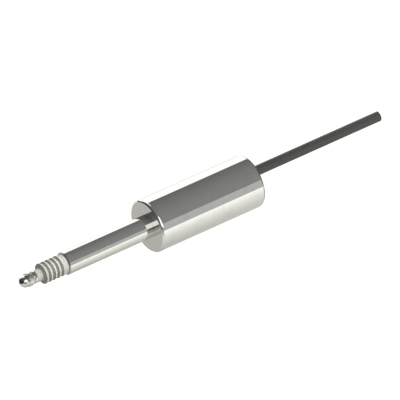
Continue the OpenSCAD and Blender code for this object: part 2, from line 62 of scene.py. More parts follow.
toward_camera = Vector((
    math.sin(view_azimuth) * math.cos(view_elevation),
    -math.cos(view_azimuth) * math.cos(view_elevation),
    math.sin(view_elevation),
))
camera_data = bpy.data.cameras.new("studio_camera")
camera_data.lens = lens_mm
camera_data.sensor_width = sensor_mm
camera_data.clip_end = 20
camera = bpy.data.objects.new("studio_camera", camera_data)
camera.location = look_at + toward_camera * frame_width * lens_mm / sensor_mm
camera.rotation_mode = "QUATERNION"
camera.rotation_quaternion = (-toward_camera).to_track_quat("-Z", "Y")
bpy.context.scene.collection.objects.link(camera)
bpy.context.scene.camera = camera
bpy.context.scene.view_settings.view_transform = "Standard"


# Cable: a round extruded jacket of dark grey plastic, with faint lines along it from the die.
# It leaves the rear cap above the axis, stands straight out and ends in a clean square cut.
cable_radius = 0.00175
cable_height = 0.0028
cable_stations = [
    0.0504, 0.054, 0.058, 0.062, 0.068, 0.074, 0.08, 0.086, 0.092, 0.098, 0.104, 0.108, 0.1124]
cable_end_x = cable_stations[-1]
jacket_grey = (0.031, 0.031, 0.029, 1)
jacket_pale = (0.041, 0.041, 0.038, 1)
die_line_stretch = 12.0


def add(tree, kind, feeds=(), **settings):
    """Adds a node, sets its own properties, then sets its sockets to plain values or links them."""
    node = tree.nodes.new(kind)
    for name, value in settings.items():
        setattr(node, name, value)
    for socket, value in dict(feeds).items():
        if isinstance(value, bpy.types.NodeSocket):
            tree.links.new(value, node.inputs[socket])
        else:
            node.inputs[socket].default_value = value
    return node


def calc(tree, operation, *terms):
    """Adds a Math node, and gives its result."""
    return add(tree, "ShaderNodeMath", enumerate(terms), operation=operation).outputs[0]


def mapped(tree, value, from_low, from_high, to_low, to_high, smooth=True):
    """Carries a value from one range to another, held at both ends."""
    kind = "SMOOTHSTEP" if smooth else "LINEAR"
    ranges = enumerate((value, from_low, from_high, to_low, to_high))
    return add(tree, "ShaderNodeMapRange", ranges, interpolation_type=kind).outputs[0]


def mixed(tree, share, first, second):
    """Mixes two colours, and gives the result."""
    node = add(tree, "ShaderNodeMix", {0: share}, data_type="RGBA")
    for index, value in ((6, first), (7, second)):
        if isinstance(value, bpy.types.NodeSocket):
            tree.links.new(value, node.inputs[index])
        else:
            node.inputs[index].default_value = value
    return node.outputs[2]


def surface_place(tree):
    """X, Y and Z of the shaded spot, in the probe's frame."""
    spot = tree.nodes.new("ShaderNodeTexCoord").outputs["Object"]
    return add(tree, "ShaderNodeSeparateXYZ", {0: spot}).outputs


def new_finish(name):
    """Makes a material, and gives it with its node tree and its shader."""
    material = bpy.data.materials.new(name)
    material.use_nodes = True
    return material, material.node_tree, material.node_tree.nodes["Principled BSDF"]


def moulded_grain():
    """Shader group: the fine unevenness of plastic and rubber, from a pattern of a given grain size."""
    cloud_scale = 0.06
    grain_share, cloud_share = 0.4, 0.6
    group = bpy.data.node_groups.new("moulded_grain", "ShaderNodeTree")
    group.interface.new_socket("Grain size", in_out="INPUT", socket_type="NodeSocketFloat")
    group.interface.new_socket("Stretch", in_out="INPUT", socket_type="NodeSocketFloat")
    group.interface.new_socket("Height", in_out="OUTPUT", socket_type="NodeSocketFloat")
    group.interface.new_socket("Tone", in_out="OUTPUT", socket_type="NodeSocketFloat")
    entry = group.nodes.new("NodeGroupInput").outputs
    place = surface_place(group)
    along = calc(group, "DIVIDE", place["X"], entry["Stretch"])
    spot = add(group, "ShaderNodeCombineXYZ", {0: along, 1: place["Y"], 2: place["Z"]}).outputs[0]
    fine = calc(group, "DIVIDE", 1.0, entry["Grain size"])
    broad = calc(group, "MULTIPLY", fine, cloud_scale)
    grain = add(group, "ShaderNodeTexNoise", {"Vector": spot, "Scale": fine, "Detail": 3.0}).outputs["Fac"]
    cloud = add(group, "ShaderNodeTexNoise", {"Vector": spot, "Scale": broad, "Detail": 2.0}).outputs["Fac"]
    tone = calc(group, "ADD", calc(group, "MULTIPLY", grain, grain_share),
                calc(group, "MULTIPLY", cloud, cloud_share))
    leave = group.nodes.new("NodeGroupOutput").inputs
    group.links.new(grain, leave["Height"])
    group.links.new(mapped(group, tone, 0.35, 0.65, 0.0, 1.0), leave["Tone"])
    return group


grain_group = moulded_grain()


def moulded(name, dark, pale, grain_size, roughness, stretch=1.0, bump=0.1):
    """Plastic or rubber: two close tones, an uneven gloss and a fine grain."""
    gloss_spread = 0.05
    material, tree, shader = new_finish(name)
    grain = add(tree, "ShaderNodeGroup", node_tree=grain_group)
    grain.inputs["Grain size"].default_value = grain_size
    grain.inputs["Stretch"].default_value = stretch
    tone = grain.outputs["Tone"]
    tree.links.new(mixed(tree, tone, dark, pale), shader.inputs["Base Color"])
    gloss = mapped(tree, tone, 0.0, 1.0, roughness - gloss_spread, roughness + gloss_spread)
    tree.links.new(gloss, shader.inputs["Roughness"])
    relief = add(tree, "ShaderNodeBump", {
        "Strength": bump, "Distance": grain_size, "Height": grain.outputs["Height"]})
    tree.links.new(relief.outputs[0], shader.inputs["Normal"])
    return material


jacket = moulded("cable_jacket", jacket_grey, jacket_pale, grain_size=0.00025, roughness=0.37,
                 stretch=die_line_stretch, bump=0.12)
cable_curve = bpy.data.curves.new("cable_jacket", "CURVE")
cable_curve.dimensions = "3D"
cable_curve.bevel_depth = cable_radius
cable_curve.bevel_resolution = 10
cable_curve.use_fill_caps = True
cable_line = cable_curve.splines.new("POLY")
cable_line.points.add(len(cable_stations) - 1)
for point, station in zip(cable_line.points, cable_stations):
    point.co = (station, 0, cable_height, 1)
cable_curve.materials.append(jacket)
cable = bpy.data.objects.new("cable_jacket", cable_curve)
bpy.context.scene.collection.objects.link(cable)
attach(cable, "housing")
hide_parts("cable")


# Cut end of the cable: a copper screen of fine wires round a pale wrap, and four stranded cores in
# coloured insulation. Everything was cut square in one go, and stands a hair proud of the jacket.
wrap_radius = 0.00126
wrap_dark = (0.55, 0.54, 0.50, 1)
wrap_pale = (0.68, 0.67, 0.62, 1)
screen_radius = 0.00136
screen_wire_radius = 0.00007
screen_wires = 48
core_spread = 0.0006
core_radius = 0.00046
core_red = (0.55, 0.05, 0.04, 1)
core_ivory = (0.70, 0.66, 0.58, 1)
core_blue = (0.05, 0.12, 0.45, 1)
core_green = (0.06, 0.30, 0.09, 1)
core_soil = (0.02, 0.02, 0.02, 1)
core_soil_size = 0.00025
core_soil_share = 0.25
strand_radius = 0.0001
strand_ring = 6
copper_dark = (0.62, 0.27, 0.13, 1)
copper_bright = (0.80, 0.42, 0.24, 1)
bundle_depth = 0.0012


def new_tree(name, inputs):
    """Starts a geometry tree with named inputs after its geometry, and gives it with its entry."""
    tree = bpy.data.node_groups.new(name, "GeometryNodeTree")
    tree.interface.new_socket("Geometry", in_out="INPUT", socket_type="NodeSocketGeometry")
    tree.interface.new_socket("Geometry", in_out="OUTPUT", socket_type="NodeSocketGeometry")
    for label, kind in inputs:
        tree.interface.new_socket(label, in_out="INPUT", socket_type="NodeSocket" + kind)
    return tree, tree.nodes.new("NodeGroupInput").outputs


def end_tree(tree, geometry, material):
    """Ends a geometry tree: instances become real, faces smooth, and all of it takes one material."""
    real = add(tree, "GeometryNodeRealizeInstances", {0: geometry})
    smooth = add(tree, "GeometryNodeSetShadeSmooth", {"Geometry": real.outputs[0]})
    coated = add(tree, "GeometryNodeSetMaterial", {"Geometry": smooth.outputs[0], "Material": material})
    tree.links.new(coated.outputs[0], tree.nodes.new("NodeGroupOutput").inputs[0])


def made_by(tree, name, points, edges, sizes, rounding=()):
    """Runs a geometry tree over points and edges, and gives the result as an object with a plain mesh."""
    start = bpy.data.meshes.new(name)
    start.from_pydata(points, edges, [])
    if rounding:
        start.attributes.new("rounding", "FLOAT", "POINT").data.foreach_set("value", rounding)
    piece = bpy.data.objects.new(name, start)
    bpy.context.scene.collection.objects.link(piece)
    shaping = piece.modifiers.new("shaping", "NODES")
    shaping.node_group = tree
    for socket in tree.interface.items_tree:
        if socket.in_out == "INPUT" and socket.name in sizes:
            shaping[socket.identifier] = sizes[socket.name]
    shaped = piece.evaluated_get(bpy.context.evaluated_depsgraph_get())
    piece.data = bpy.data.meshes.new_from_object(shaped)
    piece.modifiers.clear()
    return piece


def rods_on_points():
    """Geometry tree: a round rod along X on every point, centred on it."""
    tree, entry = new_tree("rods_on_points", [
        ("Rod radius", "Float"), ("Rod length", "Float"), ("Rod sides", "Int"), ("Rod material", "Material")])
    rod = add(tree, "GeometryNodeMeshCylinder", {
        "Vertices": entry["Rod sides"], "Radius": entry["Rod radius"], "Depth": entry["Rod length"]})
    lying = add(tree, "GeometryNodeTransform", {
        "Geometry": rod.outputs["Mesh"], "Rotation": (0, math.pi / 2, 0)})
    placed = add(tree, "GeometryNodeInstanceOnPoints", {
        "Points": entry["Geometry"], "Instance": lying.outputs[0]})
    end_tree(tree, placed.outputs[0], entry["Rod material"])
    return tree


def ring_of(count, radius, y=0.0, z=0.0):
    """Points of a circle across the X axis, as (y, z)."""
    turns = [2 * math.pi * k / count for k in range(count)]
    return [(y + radius * math.cos(a), z + radius * math.sin(a)) for a in turns]


rod_tree = rods_on_points()
core_places = [(y * core_spread, cable_height + z * core_spread) for y in (-1, 1) for z in (-1, 1)]
strand_places = [
    place for y, z in core_places for place in [(y, z), *ring_of(strand_ring, 2 * strand_radius, y, z)]]
bare_copper = moulded("bare_copper", copper_dark, copper_bright, grain_size=0.00005, roughness=0.3)
bare_copper.node_tree.nodes["Principled BSDF"].inputs["Metallic"].default_value = 1.0
wrap_paper = moulded("cable_wrap", wrap_dark, wrap_pale, grain_size=0.00012, roughness=0.75, bump=0.3)

insulation, insulation_tree, insulation_shader = new_finish("core_insulation")
insulation_spot = insulation_tree.nodes.new("ShaderNodeTexCoord").outputs["Object"]
insulation_place = add(insulation_tree, "ShaderNodeSeparateXYZ", {0: insulation_spot}).outputs
to_left = calc(insulation_tree, "LESS_THAN", insulation_place["Y"], 0.0)
above = calc(insulation_tree, "GREATER_THAN", insulation_place["Z"], cable_height)
upper_pair = mixed(insulation_tree, to_left, core_red, core_ivory)
lower_pair = mixed(insulation_tree, to_left, core_blue, core_green)
insulation_colour = mixed(insulation_tree, above, lower_pair, upper_pair)
insulation_speck = add(insulation_tree, "ShaderNodeTexNoise", {
    "Vector": insulation_spot, "Scale": 1 / core_soil_size})
insulation_soil = mapped(insulation_tree, insulation_speck.outputs["Fac"], 0.3, 0.7, 0.0, core_soil_share)
insulation_tree.links.new(
    mixed(insulation_tree, insulation_soil, insulation_colour, core_soil),
    insulation_shader.inputs["Base Color"])
insulation_shader.inputs["Roughness"].default_value = 0.45

for name, places, radius, proud, sides, material, slot in (
    ("cable_wrap", [(0, cable_height)], wrap_radius, 0.00004, 48, wrap_paper, "cable_jacket"),
    ("cable_screen", ring_of(screen_wires, screen_radius, 0, cable_height), screen_wire_radius, 0.00008, 8,
     bare_copper, "copper"),
    ("cable_core_insulation", core_places, core_radius, 0.00012, 24, insulation, "cable_jacket"),
    ("cable_core_strands", strand_places, strand_radius, 0.0002, 10, bare_copper, "copper"),
):
    middle_x = cable_end_x + proud - bundle_depth / 2
    bundle = made_by(rod_tree, name, [(middle_x, y, z) for y, z in places], [], {
        "Rod radius": radius, "Rod length": bundle_depth, "Rod sides": sides, "Rod material": material})
    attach(bundle, "housing")


# Studio: a pale floor well below the clamped probe, a dark ceiling, pale walls and a broad soft box
# over the front left, which the polished steel mirrors. Two wide lamps light what isn't mirrored.
mirrored_tint = (0.985, 1.0, 0.99, 1)
# Ceiling: its glow far behind the probe and far in front of it, and how far those are along -Y
ceiling_back, ceiling_front = 0.063, 0.16
ceiling_reach = (-0.68, 0.78)
# Soft box: sides by share of a turn, top and bottom by the sine of the height, and its soft edges
soft_box_glow = 1.45
soft_box_left, soft_box_right = 0.37, 0.565
soft_box_low, soft_box_high = 0.24, 0.85
soft_box_side_edge, soft_box_level_edge = 0.006, 0.02
# Walls round the probe by share of a turn: 0 is behind it, 0.25 at the tip's end, 0.5 in front
wall_glow = (
    (0.0, 1.2), (0.062, 1.2), (0.077, 0.05), (0.43, 0.05), (0.48, 0.36), (0.56, 0.41),
    (0.61, 0.41), (0.65, 0.06), (0.69, 0.28), (0.84, 0.28), (0.87, 0.05), (0.888, 1.2))
# Sine of the height at which each wall ends, and the soft edge there
wall_top = (
    (0.0, 0.92), (0.07, 0.92), (0.1, 0.5), (0.3, 0.5), (0.54, 0.402), (0.68, 0.402),
    (0.74, 0.564), (0.93, 0.564), (0.95, 0.92))
wall_edge = 0.012
# Light for matt surfaces: its strength from the tip's side and from the cable's side
ambient_tint = (1.0, 0.995, 0.985, 1)
ambient_from_tip, ambient_from_cable = 0.051, 0.425
ambient_reach = (-0.8, 0.6)
# Floor: where the probe stands over it, its glow as mirrored, and the dip in that glow under the probe,
# a painted shadow of the probe that the metal mirrors
floor_depth = 0.12
floor_radius = 3.1
floor_corners = 96
foot_x = 0.03
floor_tint = (1.0, 0.99, 0.94, 1)
floor_full_glow = 1.08
floor_dip_glow = 0.55
floor_dip_start = 0.5
floor_dip_fade = -0.5
floor_bounce_tint = (1.0, 0.985, 0.95, 1)
floor_bounce_glow = 0.36
floor_white_glow = 0.85
floor_paint_grey = (0.3, 0.3, 0.3, 1)
# Dark part of the floor past the tip, both far off and behind the probe, each with its soft edge
past_tip_shade = 0.97
past_tip_edge = (-0.16, -0.115)
far_edge = (0.23, 0.31)
far_slant_edge = (-0.4, -0.25)
behind_edge = (0.06, 0.1)
# Half-dark part of the floor at the front left
left_shade_depth = 0.6
left_edge = (-0.07, -0.03)
left_front_edge = (-0.26, -0.19)


def stepped(tree, position, stops):
    """Value that follows (position, value) stops, through a ramp that holds them over their largest."""
    largest = max(value for _, value in stops)
    ramp = add(tree, "ShaderNodeValToRGB", {0: position})
    while len(ramp.color_ramp.elements) < len(stops):
        ramp.color_ramp.elements.new(1.0)
    for element, (place, value) in zip(ramp.color_ramp.elements, stops):
        element.position = place
        element.color = (*[value / largest] * 3, 1)
    return calc(tree, "MULTIPLY", ramp.outputs["Color"], largest)


world = bpy.data.worlds.new("studio")
world.use_nodes = True
bpy.context.scene.world = world
room = world.node_tree
room.nodes.clear()
look_direction = room.nodes.new("ShaderNodeTexCoord").outputs["Generated"]
looking = add(room, "ShaderNodeSeparateXYZ", {0: look_direction}).outputs
forward = calc(room, "MULTIPLY", looking["Y"], -1.0)
turn_angle = calc(room, "ARCTAN2", looking["X"], forward)
turn_share = calc(room, "ADD", calc(room, "DIVIDE", turn_angle, 2 * math.pi), 0.5)
over_wall = calc(room, "SUBTRACT", looking["Z"], stepped(room, turn_share, wall_top))
ceiling_share = mapped(room, over_wall, -wall_edge, wall_edge, 0.0, 1.0)
wall_share = calc(room, "SUBTRACT", 1.0, ceiling_share)
wall_light = calc(room, "MULTIPLY", stepped(room, turn_share, wall_glow), wall_share)
ceiling_glow = mapped(room, forward, *ceiling_reach, ceiling_back, ceiling_front, smooth=False)
ceiling_light = calc(room, "MULTIPLY", ceiling_glow, ceiling_share)
room_light = calc(room, "ADD", wall_light, ceiling_light)
box_light = soft_box_glow
for direction, middle, edge, before, after in (
    (turn_share, soft_box_left, soft_box_side_edge, 0.0, 1.0),
    (turn_share, soft_box_right, soft_box_side_edge, 1.0, 0.0),
    (looking["Z"], soft_box_low, soft_box_level_edge, 0.0, 1.0),
    (looking["Z"], soft_box_high, soft_box_level_edge, 1.0, 0.0),
):
    inside = mapped(room, direction, middle - edge, middle + edge, before, after)
    box_light = calc(room, "MULTIPLY", inside, box_light)
mirrored_light = calc(room, "MAXIMUM", room_light, box_light)
ambient_light = mapped(
    room, looking["X"], *ambient_reach, ambient_from_tip, ambient_from_cable, smooth=False)
mirrored = add(room, "ShaderNodeBackground", {"Color": mirrored_tint, "Strength": mirrored_light})
ambient = add(room, "ShaderNodeBackground", {"Color": ambient_tint, "Strength": ambient_light})
backdrop = add(room, "ShaderNodeBackground", {"Color": (1, 1, 1, 1), "Strength": 1.0})
ray = room.nodes.new("ShaderNodeLightPath").outputs
unseen = add(room, "ShaderNodeMixShader", {
    0: ray["Is Diffuse Ray"], 1: mirrored.outputs[0], 2: ambient.outputs[0]})
seen = add(room, "ShaderNodeMixShader", {
    0: ray["Is Camera Ray"], 1: unseen.outputs[0], 2: backdrop.outputs[0]})
add(room, "ShaderNodeOutputWorld", {"Surface": seen.outputs[0]})


def length_of(tree, first, second):
    """Length of the long side of a right-angled triangle."""
    squares = [calc(tree, "POWER", side, 2.0) for side in (first, second)]
    return calc(tree, "SQRT", calc(tree, "ADD", *squares))


floor_finish, floor_tree, floor_shader = new_finish("pale_floor")
floor_tree.nodes.remove(floor_shader)
floor_place = surface_place(floor_tree)
floor_away = length_of(floor_tree, calc(floor_tree, "SUBTRACT", floor_place["X"], foot_x), floor_place["Y"])
floor_depths = calc(floor_tree, "DIVIDE", floor_away, floor_depth)
# The dip under the probe is a painted shadow in the glow that the metal mirrors
floor_past_dip = calc(floor_tree, "SUBTRACT", floor_depths, floor_dip_start)
floor_dip = calc(floor_tree, "EXPONENT", calc(floor_tree, "MULTIPLY", floor_past_dip, floor_dip_fade))
floor_open = calc(floor_tree, "SUBTRACT", floor_full_glow,
                  calc(floor_tree, "MULTIPLY", floor_dip, floor_dip_glow))
floor_slant = calc(floor_tree, "DIVIDE", floor_place["Y"], floor_away)
far_off = calc(floor_tree, "MULTIPLY", mapped(floor_tree, floor_away, *far_edge, 0.0, 1.0),
               mapped(floor_tree, floor_slant, *far_slant_edge, 0.0, 1.0))
behind = mapped(floor_tree, floor_place["Y"], *behind_edge, 0.0, 1.0)
past_tip = mapped(floor_tree, floor_place["X"], *past_tip_edge, past_tip_shade, 0.0)
tip_shade = calc(floor_tree, "MULTIPLY", past_tip, calc(floor_tree, "MAXIMUM", far_off, behind))
left_shade = calc(floor_tree, "MULTIPLY",
                  mapped(floor_tree, floor_place["X"], *left_edge, left_shade_depth, 0.0),
                  mapped(floor_tree, floor_place["Y"], *left_front_edge, 1.0, 0.0))
floor_shade = calc(floor_tree, "MAXIMUM", tip_shade, left_shade)
floor_glow = calc(floor_tree, "MULTIPLY", floor_open, calc(floor_tree, "SUBTRACT", 1.0, floor_shade))
floor_mirrored = add(floor_tree, "ShaderNodeEmission", {"Color": floor_tint, "Strength": floor_glow})
floor_bounce = add(floor_tree, "ShaderNodeEmission", {
    "Color": floor_bounce_tint, "Strength": floor_bounce_glow})
floor_white = add(floor_tree, "ShaderNodeEmission", {"Color": (1, 1, 1, 1), "Strength": floor_white_glow})
floor_paint = add(floor_tree, "ShaderNodeBsdfDiffuse", {"Color": floor_paint_grey})
floor_seen = add(floor_tree, "ShaderNodeAddShader", {0: floor_white.outputs[0], 1: floor_paint.outputs[0]})
floor_ray = floor_tree.nodes.new("ShaderNodeLightPath").outputs
floor_unseen = add(floor_tree, "ShaderNodeMixShader", {
    0: floor_ray["Is Diffuse Ray"], 1: floor_mirrored.outputs[0], 2: floor_bounce.outputs[0]})
floor_above = add(floor_tree, "ShaderNodeMixShader", {
    0: floor_ray["Is Camera Ray"], 1: floor_unseen.outputs[0], 2: floor_seen.outputs[0]})
floor_below = floor_tree.nodes.new("ShaderNodeBsdfTransparent")
floor_side = floor_tree.nodes.new("ShaderNodeNewGeometry").outputs["Backfacing"]
floor_both = add(floor_tree, "ShaderNodeMixShader", {
    0: floor_side, 1: floor_above.outputs[0], 2: floor_below.outputs[0]})
floor_tree.links.new(floor_both.outputs[0], floor_tree.nodes["Material Output"].inputs["Surface"])
floor_mesh = bpy.data.meshes.new("floor")
floor_edge = ring_of(floor_corners, floor_radius)
floor_mesh.from_pydata([(x, y, -floor_depth) for x, y in floor_edge], [], [range(floor_corners)])
floor_mesh.materials.append(floor_finish)
floor = bpy.data.objects.new("floor", floor_mesh)
bpy.context.scene.collection.objects.link(floor)

for name, place, width, power in (
    ("overhead_lamp", (0.25, 0.05, 0.9), 0.8, 8.0),
    ("front_lamp", (0.3, -0.85, 0.35), 0.7, 9.6),
):
    lamp_data = bpy.data.lights.new(name, "AREA")
    lamp_data.size = width
    lamp_data.energy = power
    lamp = bpy.data.objects.new(name, lamp_data)
    lamp.location = place
    lamp.rotation_mode = "QUATERNION"
    lamp.rotation_quaternion = (Vector((foot_x, 0, 0)) - Vector(place)).to_track_quat("-Z", "Y")
    lamp.visible_glossy = False
    bpy.context.scene.collection.objects.link(lamp)


# Body shell: a cup turned from stainless bar. Its wall is polished bright, and the front face keeps the
# fine rings of the facing cut, so it mirrors the stem softly. The rear lip is left rougher, as turned, and
# its dark colour is painted shade, a dark line along the body's rear edge.
polished_steel = (0.86, 0.86, 0.83, 1)
polished_roughness = 0.035
polished_metallic = 0.94
face_steel = (0.60, 0.59, 0.57, 1)
# Colour of the rear lip: painted shade, a dark line along the body's rear edge
lip_painted_shade = (0.20, 0.20, 0.19, 1)
lip_width = 0.0007
body_front_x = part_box("body_shell")[0].x
body_rear_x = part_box("body_shell")[1].x
face_skin = 0.00002


def tool_marks():
    """Shader group: the rings that a lathe or grinder leaves, along a round wall or across a flat face."""
    group = bpy.data.node_groups.new("tool_marks", "ShaderNodeTree")
    group.interface.new_socket("Mark pitch", in_out="INPUT", socket_type="NodeSocketFloat")
    group.interface.new_socket("Wall marks", in_out="OUTPUT", socket_type="NodeSocketFloat")
    group.interface.new_socket("Face marks", in_out="OUTPUT", socket_type="NodeSocketFloat")
    pitch = group.nodes.new("NodeGroupInput").outputs["Mark pitch"]
    place = surface_place(group)
    off_axis = length_of(group, place["Y"], place["Z"])
    leave = group.nodes.new("NodeGroupOutput").inputs
    for label, distance in (("Wall marks", place["X"]), ("Face marks", off_axis)):
        count = calc(group, "DIVIDE", distance, pitch)
        rings = add(group, "ShaderNodeTexNoise", {"W": count, "Scale": 1.0, "Detail": 2.0},
                    noise_dimensions="1D")
        group.links.new(rings.outputs["Fac"], leave[label])
    return group


def handling_haze():
    """Shader group: soft patches where a bright surface has been wiped and handled."""
    group = bpy.data.node_groups.new("handling_haze", "ShaderNodeTree")
    group.interface.new_socket("Patch size", in_out="INPUT", socket_type="NodeSocketFloat")
    group.interface.new_socket("Haze", in_out="OUTPUT", socket_type="NodeSocketFloat")
    patch_size = group.nodes.new("NodeGroupInput").outputs["Patch size"]
    patches = add(group, "ShaderNodeTexNoise", {
        "Vector": group.nodes.new("ShaderNodeTexCoord").outputs["Object"],
        "Scale": calc(group, "DIVIDE", 1.0, patch_size),
        "Detail": 4.0,
        "Distortion": 0.6})
    leave = group.nodes.new("NodeGroupOutput").inputs
    group.links.new(mapped(group, patches.outputs["Fac"], 0.42, 0.72, 0.0, 1.0), leave["Haze"])
    return group


marks_group = tool_marks()
haze_group = handling_haze()


def metal(name, colour, roughness, pitch, depth, patch=0.004, metallic=1.0, faces=()):
    """Turned or ground metal: marks of its own pitch, a gloss that haze makes uneven, and other finishes,
    each a (mask, colour, roughness, depth), where mask(tree) is 1."""
    hazed_tone, hazed_gloss = 0.95, 1.35
    flat_face = (0.8, 0.95)
    mark_height = 0.001
    material, tree, shader = new_finish(name)
    marks = add(tree, "ShaderNodeGroup", node_tree=marks_group)
    marks.inputs["Mark pitch"].default_value = pitch
    haze_node = add(tree, "ShaderNodeGroup", node_tree=haze_group)
    haze_node.inputs["Patch size"].default_value = patch
    haze = haze_node.outputs["Haze"]
    normal = add(tree, "ShaderNodeSeparateXYZ", {
        0: tree.nodes.new("ShaderNodeTexCoord").outputs["Normal"]}).outputs
    facing = mapped(tree, calc(tree, "ABSOLUTE", normal["X"]), *flat_face, 0.0, 1.0)
    rings = mixed(tree, facing, marks.outputs["Wall marks"], marks.outputs["Face marks"])
    tone = mixed(tree, haze, colour, (*[hazed_tone * c for c in colour[:3]], 1))
    gloss = mapped(tree, haze, 0.0, 1.0, roughness, hazed_gloss * roughness)
    relief_depth = depth
    for mask, face_colour, face_roughness, face_depth in faces:
        share = mask(tree)
        tone = mixed(tree, share, tone, face_colour)
        gloss = calc(tree, "ADD", gloss, calc(tree, "MULTIPLY", share, face_roughness - roughness))
        relief_depth = calc(tree, "ADD", relief_depth, calc(tree, "MULTIPLY", share, face_depth - depth))
    tree.links.new(tone, shader.inputs["Base Color"])
    tree.links.new(gloss, shader.inputs["Roughness"])
    relief = add(tree, "ShaderNodeBump", {
        "Strength": 1.0, "Distance": mark_height, "Height": calc(tree, "MULTIPLY", rings, relief_depth)})
    tree.links.new(relief.outputs[0], shader.inputs["Normal"])
    shader.inputs["Metallic"].default_value = metallic
    return material


def dress(node_names, material):
    """Gives CAD nodes a finish."""
    for node_name in node_names:
        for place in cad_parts[node_name].material_slots:
            place.material = material


def on_front_face(tree):
    """1 on the body's flat front face, 0 elsewhere."""
    along = surface_place(tree)["X"]
    return mapped(tree, along, body_front_x + face_skin, body_front_x + 2 * face_skin, 1.0, 0.0)


def on_rear_lip(tree):
    """1 on the body's rounded rear lip, 0 elsewhere."""
    along = surface_place(tree)["X"]
    return mapped(tree, along, body_rear_x - lip_width - face_skin, body_rear_x - lip_width, 0.0, 1.0)


dress(["body_shell"], metal(
    "polished_body", polished_steel, polished_roughness, pitch=0.00006, depth=0.0002,
    metallic=polished_metallic,
    faces=[(on_front_face, face_steel, 0.1, 0.0008), (on_rear_lip, lip_painted_shade, 0.28, 0.0008)]))


# Stem: a stainless tube ground to its clamping size and polished, bonded into the body's front wall.
# Its front edge has a small chamfer so that a holder slides on, left rougher, as turned; its darker
# colour is painted shade, a dark line at the stem's front end.
# Colour of the chamfer: painted shade, a dark line at the stem's front end
chamfer_painted_shade = (0.52, 0.52, 0.49, 1)
chamfer_width = 0.0003
stem_front_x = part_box("stem")[0].x


def on_front_chamfer(tree):
    """1 on the stem's front end and its chamfer, 0 elsewhere."""
    along = surface_place(tree)["X"]
    chamfer_x = stem_front_x + chamfer_width
    return mapped(tree, along, chamfer_x - face_skin, chamfer_x, 1.0, 0.0)


dress(["stem"], metal(
    "polished_stem", polished_steel, polished_roughness, pitch=0.00005, depth=0.0002, patch=0.003,
    metallic=polished_metallic, faces=[(on_front_chamfer, chamfer_painted_shade, 0.3, 0.001)]))


# Nose bush and its pin: a turned bush screwed into the stem's front end, and the hardened pin across it
# that runs in the spindle's groove.
bush_steel = (0.62, 0.60, 0.56, 1)
pin_steel = (0.60, 0.60, 0.62, 1)
dress(["nose_bush"], metal("turned_bush", bush_steel, roughness=0.22, pitch=0.00008, depth=0.002))
dress(["anti_rotation_pin"], metal("ground_pin", pin_steel, roughness=0.12, pitch=0.00003, depth=0.0008))


# Ball bearing: a hardened sleeve, a drilled brass cage and rows of steel balls between the sleeve and
# the spindle.
sleeve_steel = (0.58, 0.58, 0.60, 1)
ball_steel = (0.70, 0.70, 0.72, 1)
brass = (0.74, 0.54, 0.24, 1)
dress(["ball_sleeve"], metal("ground_sleeve", sleeve_steel, roughness=0.14, pitch=0.00003, depth=0.0008))
dress(["ball_cage"], metal("turned_brass_cage", brass, roughness=0.22, pitch=0.00007, depth=0.0015))
dress(["bearing_balls"], metal(
    "lapped_balls", ball_steel, roughness=0.05, pitch=0.00004, depth=0.0002, patch=0.0006))


# Spindle: a shaft of hardened steel, ground and polished to run in the balls. Its front collar shows
# between the tip and the bellows, and its tail carries the stop collar and the core's rod.
spindle_steel = (0.84, 0.82, 0.79, 1)
dress(["spindle"], metal(
    "ground_spindle", spindle_steel, roughness=0.16, pitch=0.00005, depth=0.0003, metallic=0.95))


# Stop collar and its clip: a turned brass collar on the spindle's tail that limits the stroke and takes
# the spring's push. A blued ring of spring steel holds it there.
clip_blue = (0.16, 0.17, 0.20, 1)
dress(["stop_collar"], metal("turned_brass_collar", brass, roughness=0.22, pitch=0.00007, depth=0.0015))
dress(["collar_clip"], metal("blued_clip", clip_blue, roughness=0.32, pitch=0.00005, depth=0.001))


# Return spring: hard-drawn round wire, coiled with one closed turn at each end.
spring_low, spring_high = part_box("return_spring")
spring_length = spring_high.x - spring_low.x
spring_wire_radius = 0.0002
spring_wire_sides = 12
spring_working_turns = 7
spring_closed_pitch = 0.00046
spring_steel = (0.55, 0.55, 0.57, 1)


